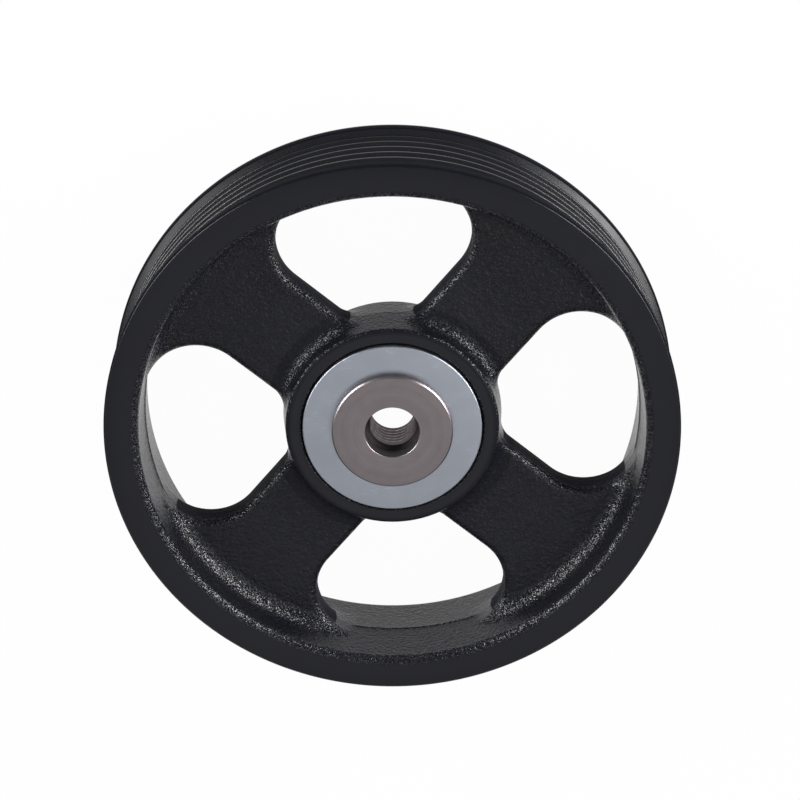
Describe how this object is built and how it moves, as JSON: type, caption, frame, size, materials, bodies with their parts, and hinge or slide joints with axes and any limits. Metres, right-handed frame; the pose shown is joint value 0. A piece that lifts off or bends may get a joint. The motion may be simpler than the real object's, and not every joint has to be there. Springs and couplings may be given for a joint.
{
  "type": "tensioner pulley",
  "caption": "Cast spoked tensioner pulley with a ribbed belt rim between raised flanges, turning on a sealed ball bearing with a dust shield and a threaded centre bush.",
  "frame": {"origin": "on the pulley's axis, in the plane of the rim's rear face that it lies on", "axes": "+Z along the axis, from the rear face up to the front face with the dust shield; +X through the middle of a window"},
  "size_m": [0.1334, 0.1334, 0.0279],
  "materials": {
    "black_casting": "satin black coated iron casting",
    "bearing_steel": "ground steel",
    "polished_balls": "polished",
    "cage_steel": "pressed sheet steel",
    "seal_rubber": "matt rubber",
    "zinc_plate": "zinc plated",
    "turned_steel": "fine turned steel"
  },
  "bodies": {
    "core": {"centre_bush": "turned_steel", "front_dust_shield": "zinc_plate", "bearing_inner_ring": "bearing_steel"},
    "wheel": {"pulley_wheel": "black_casting", "bearing_outer_ring": "bearing_steel", "front_bearing_seal": "seal_rubber", "rear_bearing_seal": "seal_rubber"},
    "cage": {"bearing_balls": "polished_balls", "front_cage_half": "cage_steel", "rear_cage_half": "cage_steel", "cage_rivets": "cage_steel"}
  },
  "joints": [
    {"name": "wheel_spin", "type": "hinge", "parent": "core", "child": "wheel", "pos_m": [0, 0, 0.01515], "axis": [0, 0, 1], "continuous": true},
    {"name": "cage_spin", "type": "hinge", "parent": "core", "child": "cage", "pos_m": [0, 0, 0.01515], "axis": [0, 0, 1], "continuous": true}
  ],
  "couplings": [
    {"joint": "cage_spin", "follows": "wheel_spin", "ratio": 0.60242}
  ]
}
